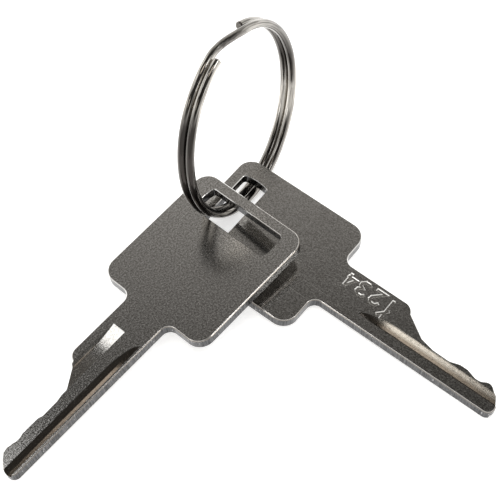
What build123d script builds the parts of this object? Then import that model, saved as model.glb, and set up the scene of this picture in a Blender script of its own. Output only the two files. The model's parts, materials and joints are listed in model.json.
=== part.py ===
"""Two identical flat cabinet-lock keys on a split ring, lying on a table.

Row frame: +Z up, the table at z = 0, +X to the right with the key set in front of you, +Y away.
The origin is on the table, below the middle of the whole set.  All sizes are in millimetres.

Key frame: x runs along the key from the bow's outer edge (0) to the tip, y points to the cut
side of the blade, and z is through the thickness with 0 in the middle.  The stamped face is at
+thickness / 2 and the face with two milled grooves is at -thickness / 2.
"""

import os
from math import cos, radians, sin, sqrt, tan

from build123d import *

# ---- Key blank -------------------------------------------------------------------------------
key_length = 60.15
key_thickness = 2.0
bow_length = 25.6
bow_width = 22.8
bow_corner = 2.75
blade_top = 4.4  # cut side of the blade, from the key's centre line
blade_back = -4.2  # uncut back of the blade
neck_fillet = 1.65
blade_root = bow_length - 1  # the blade's outline starts inside the bow
nose = [(57.2, 0.96), (59.1, -0.75), (key_length, -2.35), (key_length, blade_back)]
edge_bevel = 0.15
neck_reach = 5.0  # the necks are this near the centre line, and the bow's corners are not
touch = 0.01  # edges nearer than this to a plane are taken to lie on it

# ---- Slot in the bow for the ring ------------------------------------------------------------
slot_margin = 1.95  # strip of metal left at the bow's outer edge
slot_width = 5.0
slot_length = 15.4  # along the straight sides; the ends bulge a little further
slot_bulge = 0.35
slot_corner = 0.6
slot_bevel = 0.1

# ---- Cuts along the blade --------------------------------------------------------------------
shoulder_start = 38.2
shoulder_middle = (39.5, 3.95)
shoulder_end = (40.1, 3.1)
slope_end = (44.1, 0.5)
bitting = [(46.6, -0.05), (49.8, -0.1), (51.5, 0.5), (53.0, 0.5), (54.8, -0.05), (55.7, 0.0)]
blade_round = 1.3  # rounding of every corner from the shoulder's slope to the back of the nose

# ---- Milled grooves --------------------------------------------------------------------------
# A section runs from the groove's low edge to its high one: places across the blade and depths.
groove_depth = 0.8
cutter_radius = 24.0
cutter_sweep = 30  # degrees of the cutter's rim that leave the run-out
groove_overcut = 0.5  # how far the removed section stands proud of the face, in groove depths
runout = sqrt(2 * cutter_radius * groove_depth)  # how far a groove fades out towards the bow
back_groove_start = 31.3
back_groove = [(-3.76, 0), (-3.66, groove_depth), (-2.9, 0.6), (-2.05, 0)]
side_groove_start = 31.1
side_groove = [(0.05, 0), (0.1, groove_depth), (2.66, groove_depth), (2.85, 0)]
centre_groove_start = 33.2
centre_groove = [(-2.25, 0), (-2.15, groove_depth), (-1.75, groove_depth), (-0.4, 0)]

# ---- Stamped number --------------------------------------------------------------------------
digit_height = 2.75  # between the middles of the top and bottom strokes
digit_width = 1.7
digit_pitch = 2.7
digit_stroke = 0.62
stamp_depth = 0.16
stamp_slope = 0.14  # the strokes' sides slope in by this much at 45 degrees
stamp_middle = (32.6, 2.1)

# ---- Split ring ------------------------------------------------------------------------------
ring_radius = 16.3  # to the middle of the wire
wire_diameter = 1.46
turn_pitch = 1.52  # from the middle of one turn to the middle of the next
end_angle_far = -23.0  # cut end on the first turn, from the top of the ring
end_angle_near = 9.0  # cut end on the second turn
joggle_from = 8.0  # where the wire leaves the first turn
joggle_to = -22.0  # where it has crossed to the second turn
joggle_reach = ring_radius * tan(radians(joggle_from - joggle_to) / 4) * 4 / 3
wire_end_round = 0.3

# ---- Where the pieces lie --------------------------------------------------------------------
ring_centre = (-2.14, 20.93, 16.86)
ring_heading = -29.15  # direction of the ring's axis in plan
ring_lean = 11.45  # the ring's axis above the horizontal
left_key_at = (0.63, 9.85, 6.96)  # middle of the bow's outer edge
left_key_turn = (-175.6, 5.85, -132.3)  # roll, nose-down pitch, heading
right_key_at = (-7.56, 13.86, 2.95)
right_key_turn = (1.2, 1.8, -37.9)


def milled_groove(face, start, section):
    """Remove a groove that fades in at start and then runs out through the tip.

    face is +1 for the stamped face and -1 for the other.
    """
    surface = face * key_thickness / 2
    low, low_floor, high_floor, high = [Vector(y, surface - face * depth) for y, depth in section]
    low_out = low + (low - low_floor) * groove_overcut
    high_out = high + (high - high_floor) * groove_overcut
    full_depth_x = start + runout
    with BuildSketch(Plane(origin=(full_depth_x, 0, 0), x_dir=(0, 1, 0), z_dir=(1, 0, 0))) as groove:
        with BuildLine():
            Polyline(low_floor, high_floor, high_out, low_out, close=True)
        make_face()
    extrude(to_extrude=groove.sketch, amount=key_length, mode=Mode.SUBTRACT)
    floor = surface - face * groove_depth
    cutter_axis = Axis((full_depth_x, 0, floor + face * cutter_radius), (0, face, 0))
    revolve(profiles=groove.sketch, axis=cutter_axis, revolution_arc=cutter_sweep, mode=Mode.SUBTRACT)


def stroke(*points):
    """A straight or bent pen stroke of the stamped number."""
    with BuildLine() as pen:
        Polyline(*points)
    trace(pen.line, line_width=digit_stroke)


def digit_one(w, h):
    stroke((-w * 0.5, h * 0.6), (w * 0.1, h), (w * 0.1, -h))


def digit_two(w, h):
    top = [(-w, h * 0.5), (-w * 0.6, h * 0.9), (0, h), (w * 0.6, h * 0.9), (w, h * 0.55), (w * 0.9, h * 0.2)]
    stroke(*top, (-w, -h), (w * 1.1, -h))


def digit_three(w, h):
    top = [(-w, h * 0.65), (-w * 0.5, h * 0.95), (w * 0.4, h * 0.95), (w, h * 0.6), (w * 0.9, h * 0.25)]
    bottom = [(x, -y) for x, y in reversed(top)]
    stroke(*top, (w * 0.2, 0), *bottom)


def digit_four(w, h):
    stroke((w * 0.45, -h), (w * 0.45, h))
    stroke((w * 0.3, h * 0.9), (-w, -h * 0.4), (w, -h * 0.4))


def punch(draw):
    """The tool that stamps one digit; its edge is bevelled, so the strokes get sloping sides."""
    with BuildPart() as tool:
        with BuildSketch(Plane.XY.offset(-stamp_depth)):
            draw(digit_width / 2, digit_height / 2)
        extrude(amount=2 * stamp_depth)
        chamfer(tool.faces().sort_by(Axis.Z)[0].edges(), stamp_slope)
    return tool.part


punches = [punch(digit) for digit in (digit_one, digit_two, digit_three, digit_four)]

with BuildPart() as key:
    # Blank with its cut blade, bevelled all round.
    with BuildSketch() as outline:
        with Locations((bow_length / 2, 0)):
            RectangleRounded(bow_length, bow_width, bow_corner)
        with BuildLine():
            Polyline((blade_root, blade_back), (blade_root, blade_top), (shoulder_start, blade_top))
            ThreePointArc((shoulder_start, blade_top), shoulder_middle, shoulder_end)
            Line(shoulder_end, slope_end)
            FilletPolyline(slope_end, *bitting, *nose, (blade_root, blade_back), radius=blade_round)
        make_face()
        fillet(
            outline.vertices().filter_by(lambda v: abs(v.X - bow_length) < touch and abs(v.Y) < neck_reach),
            neck_fillet,
        )
    extrude(amount=key_thickness / 2, both=True)
    chamfer(key.edges().filter_by(lambda e: abs(e.center().Z) > key_thickness / 2 - touch), edge_bevel)

    # Slot for the ring, with slightly bulged ends.
    slot_middle = slot_margin + slot_width / 2
    side_end = slot_length / 2
    with BuildSketch() as slot:
        with BuildLine():
            Line((slot_margin, -side_end), (slot_margin, side_end))
            ThreePointArc(
                (slot_margin, side_end),
                (slot_middle, side_end + slot_bulge),
                (slot_margin + slot_width, side_end),
            )
            Line((slot_margin + slot_width, side_end), (slot_margin + slot_width, -side_end))
            ThreePointArc(
                (slot_margin + slot_width, -side_end),
                (slot_middle, -side_end - slot_bulge),
                (slot_margin, -side_end),
            )
        make_face()
        fillet(slot.vertices(), slot_corner)
    extrude(amount=key_thickness, both=True, mode=Mode.SUBTRACT)
    slot_rims = key.edges().filter_by(
        lambda e: abs(e.center().Z) > key_thickness / 2 - touch
        and slot_margin - touch < e.center().X < slot_margin + slot_width + touch
        and abs(e.center().Y) < side_end + 1
    )
    chamfer(slot_rims, slot_bevel)

    # Two grooves on the plain face and one down the middle of the stamped face.
    milled_groove(-1, back_groove_start, back_groove)
    milled_groove(-1, side_groove_start, side_groove)
    milled_groove(1, centre_groove_start, centre_groove)

    # A generic number, read with the tip to the left.
    for place, tool in enumerate(punches):
        digit_x = stamp_middle[0] + digit_pitch * ((len(punches) - 1) / 2 - place)
        face_place = (digit_x, stamp_middle[1], key_thickness / 2)
        with Locations(Plane(origin=face_place, x_dir=(-1, 0, 0), z_dir=(0, 0, 1))):
            add(tool, mode=Mode.SUBTRACT)


# Split ring: one wire wound twice, crossing from the first turn to the second near the top.
lean = radians(ring_lean)
heading = radians(ring_heading)
ring_plane = Plane(
    origin=ring_centre,
    x_dir=(-sin(lean) * cos(heading), -sin(lean) * sin(heading), cos(lean)),
    z_dir=(cos(lean) * cos(heading), cos(lean) * sin(heading), sin(lean)),
)


def on_ring(angle, height):
    """A point at the middle of the wire; the angle is counted from the top of the ring."""
    return (ring_radius * cos(radians(angle)), ring_radius * sin(radians(angle)), height)


def beside_ring(angle, height, reach):
    """The point reached by going straight on from the wire at an angle."""
    across, up, level = on_ring(angle, height)
    return (across + reach * sin(radians(angle)), up - reach * cos(radians(angle)), level)


with BuildPart() as split_ring:
    with BuildLine(ring_plane) as wire_path:
        first_turn = joggle_from - 360 - end_angle_far
        CenterArc((0, 0, -turn_pitch / 2), ring_radius, end_angle_far, first_turn)
        Bezier(
            on_ring(joggle_from, -turn_pitch / 2),
            beside_ring(joggle_from, -turn_pitch / 2, joggle_reach),
            beside_ring(joggle_to, turn_pitch / 2, -joggle_reach),
            on_ring(joggle_to, turn_pitch / 2),
        )
        second_turn = end_angle_near - 360 - joggle_to
        CenterArc((0, 0, turn_pitch / 2), ring_radius, joggle_to, second_turn)
    wire = Wire(wire_path.edges())
    with BuildSketch(Plane(origin=wire @ 0, z_dir=wire % 0)):
        Circle(wire_diameter / 2)
    sweep(path=wire)
    fillet(split_ring.faces().filter_by(GeomType.PLANE).edges(), wire_end_round)

with BuildPart() as left_key:
    with Locations(Location(left_key_at, left_key_turn, Extrinsic.XYZ)):
        add(key.part)

with BuildPart() as right_key:
    with Locations(Location(right_key_at, right_key_turn, Extrinsic.XYZ)):
        add(key.part)

split_ring.part.label = "split_ring"
left_key.part.label = "left_key"
right_key.part.label = "right_key"

os.makedirs("parts", exist_ok=True)
export_step(split_ring.part, "parts/split_ring.step")
export_step(left_key.part, "parts/left_key.step")
export_step(right_key.part, "parts/right_key.step")
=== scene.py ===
"""Two flat nickel-plated cabinet keys on a split ring, on a pale floor under soft studio light.

Everything is in metres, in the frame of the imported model.  The CAD nodes keep their shape and
place; this script gives them their metal, and adds the floor, the lights and the camera.
"""

import json
from math import radians

import bpy
from mathutils import Matrix, Vector


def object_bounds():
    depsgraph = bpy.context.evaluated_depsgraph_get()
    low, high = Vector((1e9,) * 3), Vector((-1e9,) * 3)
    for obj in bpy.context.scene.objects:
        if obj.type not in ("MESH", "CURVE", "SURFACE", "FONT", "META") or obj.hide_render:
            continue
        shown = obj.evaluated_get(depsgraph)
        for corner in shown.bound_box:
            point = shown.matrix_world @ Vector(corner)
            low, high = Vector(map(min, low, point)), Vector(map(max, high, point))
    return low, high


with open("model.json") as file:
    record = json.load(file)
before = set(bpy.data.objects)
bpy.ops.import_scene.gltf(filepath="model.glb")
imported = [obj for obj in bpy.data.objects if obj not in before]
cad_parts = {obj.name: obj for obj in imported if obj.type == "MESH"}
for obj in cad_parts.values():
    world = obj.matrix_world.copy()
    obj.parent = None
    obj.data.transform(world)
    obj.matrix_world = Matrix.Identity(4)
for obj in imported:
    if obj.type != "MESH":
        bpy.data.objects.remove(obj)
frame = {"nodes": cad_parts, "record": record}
cad_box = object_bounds()
mounts = {mount["name"]: mount for mount in frame["record"]["mounts"]}

MM = 0.001
KEY_LENGTH = 60.15 * MM
RING_INNER_RADIUS = 15.57 * MM

# ---- Places on a key, in millimetres in its own frame ----------------------------------------
HALF_THICKNESS = 1.0
UNCUT_EDGE = (-11.0, -11.2)  # across the key; the bow's wall on the uncut side is beyond this
BROWN_EDGE = (-0.9, -1.35)  # across the key; the grooves are brown beyond this
SIDE_BROWN_START = (36.5, 39.5)  # along the key; the groove beside the cuts turns brown here

# ---- Colours of the keys, darker first where there are two -----------------------------------
DULL_NICKEL = ((0.47, 0.455, 0.43, 1), (0.57, 0.555, 0.53, 1))
GRAIN_NICKEL = ((0.30, 0.288, 0.27, 1), (0.80, 0.79, 0.775, 1))
# painted shade: the walls are made this dark, with real striations between the two tones
SHADED_STRIATED_WALL = ((0.03, 0.03, 0.031, 1), (0.13, 0.13, 0.132, 1))
# painted highlight on the uncut side's wall near the bow's end
PAINTED_LIT_WALL = (0.42, 0.415, 0.405, 1)
WORN_BEVEL = (0.88, 0.87, 0.86, 1)
MILLED_NICKEL = (0.70, 0.68, 0.64, 1)
GROOVE_BROWN = (0.24, 0.205, 0.17, 1)
SCUFF = (0.9, 0.89, 0.87, 1)

# ---- The ring's wire -------------------------------------------------------------------------
# Painted shade and painted highlight: the two ends of the wire's colour round the ring.
PAINTED_DARK_WIRE = (0.12, 0.115, 0.11, 1)
PAINTED_BRIGHT_WIRE = (0.85, 0.81, 0.75, 1)
DRAWING_LINE = (0.10, 0.094, 0.086, 1)
SHADED_WIRE = (0.03, 0.026, 0.024, 1)
# How much painted highlight the wire gets, from 0 (painted dark) to 1 (painted bright), at degrees
# round the ring from its top.
PAINTED_LIGHT_ROUND_RING = [(0, 0.45), (12, 0.9), (38, 0.9), (52, 0.2), (100, 0.15), (135, 0.45), (180, 0.4)]
PAINTED_LIGHT_ROUND_RING += [(215, 0.6), (240, 1.0), (258, 0.6), (272, 0.12), (300, 0.25), (330, 0.5), (352, 0.35)]
FRONT_DARK = (0.0, -0.85, 0.53)  # the wire is darkest on the side that faces this way


# ---- Frames of the pieces --------------------------------------------------------------------
def frame_matrix(origin, x_axis, z_axis):
    """A frame as a 4x4 matrix, from its origin and two axes at right angles."""
    x_axis, z_axis = x_axis.normalized(), z_axis.normalized()
    y_axis = z_axis.cross(x_axis)
    turn = Matrix((x_axis, y_axis, z_axis)).transposed()
    return Matrix.Translation(origin) @ turn.to_4x4()


def key_frame(side):
    """x runs from the bow's outer edge to the tip, and z points out of the stamped face."""
    along = Vector(mounts[side + "_blade"]["axis"])
    tip = Vector(mounts[side + "_blade"]["pos_m"])
    stamped_normal = -Vector(mounts[side + "_bow_face"]["axis"])
    return frame_matrix(tip - along * KEY_LENGTH, along, stamped_normal)


def ring_frame():
    """z is the ring's axis and x points from its middle to its top."""
    axis = Vector(mounts["ring_loop"]["axis"])
    up = Vector((0, 0, 1)) - axis * axis.z
    top = Vector(mounts["ring_loop"]["pos_m"])
    return frame_matrix(top - up.normalized() * RING_INNER_RADIUS, up, axis)


# ---- Small tools for node materials ----------------------------------------------------------
class Tree:
    """A node tree that is built by calls, most of which return the output of the node they add."""

    def __init__(self, owner):
        owner.use_nodes = True
        self.nodes = owner.node_tree.nodes
        self.links = owner.node_tree.links
        self.nodes.clear()

    def add(self, kind, inputs=(), output=0, **settings):
        """Add a node; inputs gives values or sockets by input name or number."""
        node = self.nodes.new("ShaderNode" + kind)
        for name, value in settings.items():
            setattr(node, name, value)
        for name, value in dict(inputs).items():
            if isinstance(value, bpy.types.NodeSocket):
                self.links.new(value, node.inputs[name])
            else:
                node.inputs[name].default_value = value
        return None if output is None else node.outputs[output]

    def math(self, operation, a, b=0.0):
        return self.add("Math", {0: a, 1: b}, operation=operation)

    def product(self, *factors):
        """Multiply two or more values."""
        result = factors[0]
        for factor in factors[1:]:
            result = self.math("MULTIPLY", result, factor)
        return result

    def remap(self, value, low, high, to_low=0.0, to_high=1.0):
        """Take value from low..high to to_low..to_high, and no further."""
        inputs = {"Value": value, "From Min": low, "From Max": high}
        inputs.update({"To Min": to_low, "To Max": to_high})
        return self.add("MapRange", inputs, clamp=True)

    def noise(self, vector, scale, detail=2.0, roughness=0.5):
        inputs = {"Vector": vector, "Scale": scale, "Detail": detail, "Roughness": roughness}
        return self.add("TexNoise", inputs)

    def stretch(self, vector, scale, turn=0.0, shift=(0, 0, 0)):
        """The same coordinates, turned about z, shifted and then stretched."""
        place = {"Vector": vector, "Location": shift, "Rotation": (0, 0, radians(turn))}
        return self.add("Mapping", {"Vector": self.add("Mapping", place), "Scale": scale})

    def mix(self, factor, a, b):
        """Blend two colours."""
        return self.add("Mix", {0: factor, 6: a, 7: b}, output=2, data_type="RGBA")

    def metal(self, colour, roughness, normal):
        """End a material's tree with a metal."""
        inputs = {"Base Color": colour, "Metallic": 1.0, "Roughness": roughness, "Normal": normal}
        self.add("OutputMaterial", {"Surface": self.add("BsdfPrincipled", inputs)}, output=None)

    def split(self, vector):
        """The three parts of a vector."""
        node = self.nodes.new("ShaderNodeSeparateXYZ")
        self.links.new(vector, node.inputs[0])
        return node.outputs[0], node.outputs[1], node.outputs[2]


def local_coordinates(tree, piece_frame):
    """Coordinates in millimetres and surface normals, both in the piece's own frame."""
    inverse = piece_frame.inverted()
    turn = inverse.to_euler()
    where = tree.add("TexCoord", output=3)
    facing = tree.add("TexCoord", output=1)
    place = {
        "Vector": where,
        "Scale": (1 / MM,) * 3,
        "Rotation": turn,
        "Location": inverse.translation / MM,
    }
    point = tree.add("Mapping", place)
    normal = tree.add("Mapping", {"Vector": facing, "Rotation": turn})
    return point, normal


# ---- Metal -----------------------------------------------------------------------------------
def scratches(tree, point, turn, spacing, seed):
    """Thin straight scuffs along one direction, as a 0..1 mask."""
    streaks = tree.stretch(point, (0.18, 6.0, 1.0), turn, (seed, seed * 0.7, 0))
    lines = tree.noise(streaks, spacing, 1.0, 0.4)
    patches = tree.noise(point, 0.35, 1.0)
    return tree.product(tree.remap(lines, 0.70, 0.76), tree.remap(patches, 0.45, 0.6))


def straight_mark(tree, x, y, z, start, end, across):
    """A thin scratch along x on the stamped face, as a 0..1 mask that fades at both ends."""
    middle, half = (start + end) / 2, (end - start) / 2
    beside = tree.math("ABSOLUTE", tree.math("SUBTRACT", y, across))
    beyond = tree.math("ABSOLUTE", tree.math("SUBTRACT", x, middle))
    line = tree.product(tree.remap(beside, 0.08, 0.03), tree.remap(beyond, half, half * 0.6))
    return tree.product(line, tree.remap(z, HALF_THICKNESS - 0.1, HALF_THICKNESS - 0.01))


def key_nickel(name, piece_frame, seed, grain, marks=(), painted_highlight_length=0.0):
    """Tumbled nickel plate: a dull grey face with fine speckle, bright bevels, striated walls
    darkened by painted shade.

    grain is the strength of the speckle.  marks are long straight scratches across the stamped
    face, each given in millimetres by its two ends along the key and its place across it.
    The last argument is how far along the key, from the bow's end, the uncut side's wall gets a
    painted highlight.
    """
    material = bpy.data.materials.new(name)
    tree = Tree(material)
    point, normal = local_coordinates(tree, piece_frame)
    seeded = tree.add("Mapping", {"Vector": point, "Location": (seed, seed, seed)})
    x, y, z = tree.split(point)
    facing_up = tree.math("ABSOLUTE", tree.split(normal)[2])
    height = tree.math("ABSOLUTE", z)

    wall = tree.remap(facing_up, 0.35, 0.15)
    bevel = tree.product(tree.remap(facing_up, 0.5, 0.6), tree.remap(facing_up, 0.85, 0.8))
    face = tree.remap(facing_up, 0.985, 0.998)
    sunk = tree.remap(height, HALF_THICKNESS - 0.02, HALF_THICKNESS - 0.06)
    milled = tree.product(sunk, tree.remap(facing_up, 0.3, 0.4))

    speckle = tree.noise(seeded, 3.4, 4.0, 0.7)
    mottle = tree.noise(seeded, 0.55, 3.0, 0.6)
    pits = tree.add("TexVoronoi", {"Vector": seeded, "Scale": 2.6, "Randomness": 1.0})
    pit = tree.remap(pits, 0.16, 0.04)
    nicks = tree.add("TexVoronoi", {"Vector": seeded, "Scale": 0.42, "Randomness": 1.0})
    rising = scratches(tree, seeded, 38.0, 1.3, seed)
    falling = scratches(tree, seeded, -24.0, 1.1, seed + 3)
    scuffs = tree.math("MAXIMUM", rising, falling)
    scuffs = tree.math("MAXIMUM", scuffs, tree.remap(nicks, 0.05, 0.03))
    for start, end, across in marks:
        scuffs = tree.math("MAXIMUM", scuffs, straight_mark(tree, x, y, z, start, end, across))

    stripes = tree.noise(tree.stretch(seeded, (1.0, 1.0, 0.06)), 5.5, 3.0, 0.6)

    # Colour: warm grey nickel with darker mottling and speckle, paler on worn bevels.
    dull = tree.mix(tree.remap(mottle, 0.35, 0.65), *DULL_NICKEL)
    coarse = tree.mix(tree.remap(speckle, 0.38, 0.62), *GRAIN_NICKEL)
    grained = tree.mix(grain, dull, coarse)
    worn = tree.mix(tree.product(bevel, 0.85), grained, WORN_BEVEL)
    # Walls: real striations, darkened throughout by painted shade.
    shaded_striated_wall = tree.mix(tree.remap(stripes, 0.35, 0.65), *SHADED_STRIATED_WALL)
    # Painted highlight: part of the uncut side's wall near the bow's end is painted light.
    near_bow_end = tree.remap(x, painted_highlight_length, painted_highlight_length - 3)
    painted_lit_wall = tree.product(near_bow_end, tree.remap(y, *UNCUT_EDGE))
    shaded_striated_wall = tree.mix(painted_lit_wall, shaded_striated_wall, PAINTED_LIT_WALL)
    walls = tree.mix(wall, worn, shaded_striated_wall)
    cut = tree.mix(tree.product(milled, 0.5), walls, MILLED_NICKEL)

    # Brown: in full in the grooves away from the cuts, by half in the plain face's groove by them.
    plain_side = tree.product(tree.remap(x, *SIDE_BROWN_START), tree.remap(z, 0.0, -0.1))
    side_brown = tree.product(plain_side, tree.remap(y, 0.0, 0.1, 0, 0.5))
    brown_mask = tree.math("MAXIMUM", tree.remap(y, *BROWN_EDGE), side_brown)
    cut = tree.mix(tree.product(milled, brown_mask, 0.85), cut, GROOVE_BROWN)
    colour = tree.mix(tree.product(scuffs, 0.5), cut, SCUFF)

    # Roughness: satin on the faces, smoother where it is worn or milled.
    satin = tree.remap(speckle, 0.3, 0.7, 0.13, 0.22)
    smooth = tree.math("MAXIMUM", bevel, tree.product(milled, 0.6))
    roughness = tree.add("Mix", {0: smooth, 2: satin, 3: 0.16})

    # Relief: fine speckle on the faces, blanking striations up the walls, tool marks in the grooves.
    tool_marks = tree.noise(tree.stretch(seeded, (0.06, 1.0, 1.0)), 6.0, 2.0, 0.6)
    relief = tree.product(speckle, tree.remap(face, 0, 1, 0.35, 1.0))
    relief = tree.math("ADD", relief, tree.product(stripes, wall, 1.6))
    relief = tree.math("ADD", relief, tree.product(tool_marks, milled, 1.2))
    relief = tree.math("SUBTRACT", relief, tree.product(pit, 0.5))
    relief = tree.math("SUBTRACT", relief, tree.product(scuffs, 0.3))
    bump = tree.add("Bump", {"Strength": 0.45, "Distance": 0.02 * MM, "Height": relief})

    tree.metal(colour, roughness, bump)
    return material


def ring_steel(name, piece_frame):
    """Nickel-plated wire with painted highlight and painted shade round the ring, more painted shade
    in front and above, and drawing lines along it.
    """
    material = bpy.data.materials.new(name)
    tree = Tree(material)
    point, _ = local_coordinates(tree, piece_frame)
    x, y, z = tree.split(point)
    flat = tree.add("CombineXYZ", {0: x, 1: y, 2: 0.0})
    radius = tree.add("VectorMath", {0: flat}, output=1, operation="LENGTH")
    angle = tree.math("ARCTAN2", y, x)
    along = tree.add("CombineXYZ", {0: radius, 1: z, 2: angle})

    drawn = tree.noise(tree.stretch(along, (5.0, 5.0, 2.5)), 1.0, 2.0, 0.5)
    patches = tree.noise(tree.stretch(along, (0.3, 0.3, 5.0)), 1.0, 1.0)
    facing = tree.add("TexCoord", output=1)
    front = tree.add("VectorMath", {0: facing, 1: FRONT_DARK}, output=1, operation="DOT_PRODUCT")
    turn = tree.math("FRACT", tree.math("ADD", tree.math("DIVIDE", angle, radians(360)), 1.0))
    painted_light_level = tree.add("ValToRGB", {"Fac": turn})
    ramp = painted_light_level.node.color_ramp
    while len(ramp.elements) < len(PAINTED_LIGHT_ROUND_RING):
        ramp.elements.new(0.5)
    for element, (place, level) in zip(ramp.elements, PAINTED_LIGHT_ROUND_RING):
        element.position = place / 360
        element.color = (level, level, level, 1)

    # Painted highlight and painted shade by the angle round the ring, then drawing lines, then
    # painted shade on the front.
    bright = tree.mix(painted_light_level, PAINTED_DARK_WIRE, PAINTED_BRIGHT_WIRE)
    streaky = tree.mix(tree.remap(drawn, 0.46, 0.60, 0.0, 0.75), bright, DRAWING_LINE)
    least_where_painted_bright = tree.remap(painted_light_level, 0.3, 0.9, 1.0, 0.4)
    shade = tree.product(tree.remap(front, 0.5, 0.9, 0.0, 0.9), least_where_painted_bright)
    shaded = tree.mix(shade, streaky, SHADED_WIRE)
    roughness = tree.remap(patches, 0.3, 0.7, 0.07, 0.15)
    bump = tree.add("Bump", {"Strength": 0.12, "Distance": 0.02 * MM, "Height": drawn})
    tree.metal(shaded, roughness, bump)
    return material


def dress(node, material):
    """Give a CAD node its metal."""
    piece = frame["nodes"][node]
    piece.data.materials.clear()
    piece.data.materials.append(material)


# ---- Studio ----------------------------------------------------------------------------------
centre = (cad_box[0] + cad_box[1]) / 2
centre.x = centre.y = 0

FLOOR_SIZE = 3.0
FLOOR_GLOW = 0.5
FLOOR_WHITES = ((0.86, 0.86, 0.86, 1), (0.88, 0.88, 0.88, 1))
LAMP_DISTANCE = 0.5
CAMERA_DISTANCE = 0.2214
CAMERA_ELEVATION = 56.83
CAMERA_HEADING = -0.35
CAMERA_ROLL = 0.42
CAMERA_LENS = 101.96
AIM_OFFSET = Vector((-0.0004, -0.00506, 0.0))
CEILING_GREY = (0.52, 0.502, 0.478, 1)
CEILING_DARK = (0.04, 0.038, 0.035, 1)
ROOM_WHITE = (0.95, 0.945, 0.93, 1)


def add_floor():
    """A plain pale floor at the height the set stands on."""
    bpy.ops.mesh.primitive_plane_add(size=FLOOR_SIZE, location=(0, 0, 0))
    floor = bpy.context.object
    floor.name = "floor"
    material = bpy.data.materials.new("pale_floor")
    tree = Tree(material)
    grain = tree.noise(tree.add("TexCoord", output=3), 60.0, 2.0)
    colour = tree.mix(tree.remap(grain, 0.3, 0.7), *FLOOR_WHITES)
    inputs = {"Base Color": colour, "Roughness": 0.9}
    inputs.update({"Emission Color": (1, 1, 1, 1), "Emission Strength": FLOOR_GLOW})
    tree.add("OutputMaterial", {"Surface": tree.add("BsdfPrincipled", inputs)}, output=None)
    floor.data.materials.append(material)


def add_softbox(name, direction, distance, size, power, colour=(1, 1, 1)):
    """A rectangular soft light, unseen by the camera, that faces the set from a direction."""
    light = bpy.data.lights.new(name, "AREA")
    light.shape = "RECTANGLE"
    light.size, light.size_y = size
    light.energy = power
    light.color = colour
    lamp = bpy.data.objects.new(name, light)
    lamp.visible_camera = False
    bpy.context.collection.objects.link(lamp)
    back = Vector(direction).normalized()
    lamp.location = centre + back * distance
    lamp.rotation_euler = back.to_track_quat("Z", "Y").to_euler()
    return lamp


def add_room():
    """A white room whose grey ceiling is dark on the camera's side; the camera sees plain white."""
    world = bpy.data.worlds.new("studio")
    bpy.context.scene.world = world
    tree = Tree(world)
    _, depth, height = tree.split(tree.add("TexCoord", output=0))
    ceiling = tree.mix(tree.remap(depth, 0.42, 0.60), CEILING_DARK, CEILING_GREY)
    room = tree.mix(tree.remap(height, 0.54, 0.68), ROOM_WHITE, ceiling)
    seen = tree.mix(tree.add("LightPath"), room, (1.0, 1.0, 1.0, 1))
    background = tree.add("Background", {"Color": seen, "Strength": 1.0})
    tree.add("OutputWorld", {"Surface": background}, output=None)


def add_camera():
    """The camera looks down at the set from in front."""
    data = bpy.data.cameras.new("camera")
    data.lens = CAMERA_LENS
    data.sensor_width = 36.0
    data.clip_start = 0.01
    data.clip_end = 10.0
    camera = bpy.data.objects.new("camera", data)
    bpy.context.collection.objects.link(camera)
    turn = Matrix.Rotation(radians(CAMERA_HEADING), 4, "Z")
    tilt = Matrix.Rotation(radians(90 - CAMERA_ELEVATION), 4, "X")
    roll = Matrix.Rotation(radians(CAMERA_ROLL), 4, "Z")
    back = Matrix.Translation((0, 0, CAMERA_DISTANCE))
    camera.matrix_world = Matrix.Translation(centre + AIM_OFFSET) @ turn @ tilt @ roll @ back
    bpy.context.scene.camera = camera


bpy.context.scene.view_settings.view_transform = "Standard"
add_camera()
add_room()
add_floor()
add_softbox("key_light", (-0.60, 0.13, 0.79), LAMP_DISTANCE, (0.18, 0.18), 0.19)
add_softbox("front_light", (-0.47, -0.39, 0.79), LAMP_DISTANCE, (0.10, 0.10), 0.05, (1.0, 0.93, 0.83))
add_softbox("side_light", (0.54, 0.02, 0.84), LAMP_DISTANCE, (0.09, 0.09), 0.14)
add_softbox("top_light", (0.0, 0.07, 1.0), LAMP_DISTANCE, (0.10, 0.10), 0.045, (1.0, 0.9, 0.8))
add_softbox("right_edge_light", (0.77, -0.38, 0.51), LAMP_DISTANCE, (0.10, 0.10), 0.10)
add_softbox("left_edge_light", (-0.77, -0.52, 0.38), LAMP_DISTANCE, (0.10, 0.10), 0.07)
overhead = add_softbox("overhead", (0, 0, 1), 1.0, (1.0, 1.0), 8.0)
overhead.visible_glossy = False  # it lights the floor and shows in no reflection

dress("left_key", key_nickel("left_nickel", key_frame("left"), 1.0, 0.85, painted_highlight_length=13.5))
right_marks = [(19.9, 25.3, -5.2), (21.7, 27.8, -2.6)]
dress("right_key", key_nickel("right_nickel", key_frame("right"), 7.0, 0.65, right_marks))
dress("split_ring", ring_steel("ring_wire", ring_frame()))
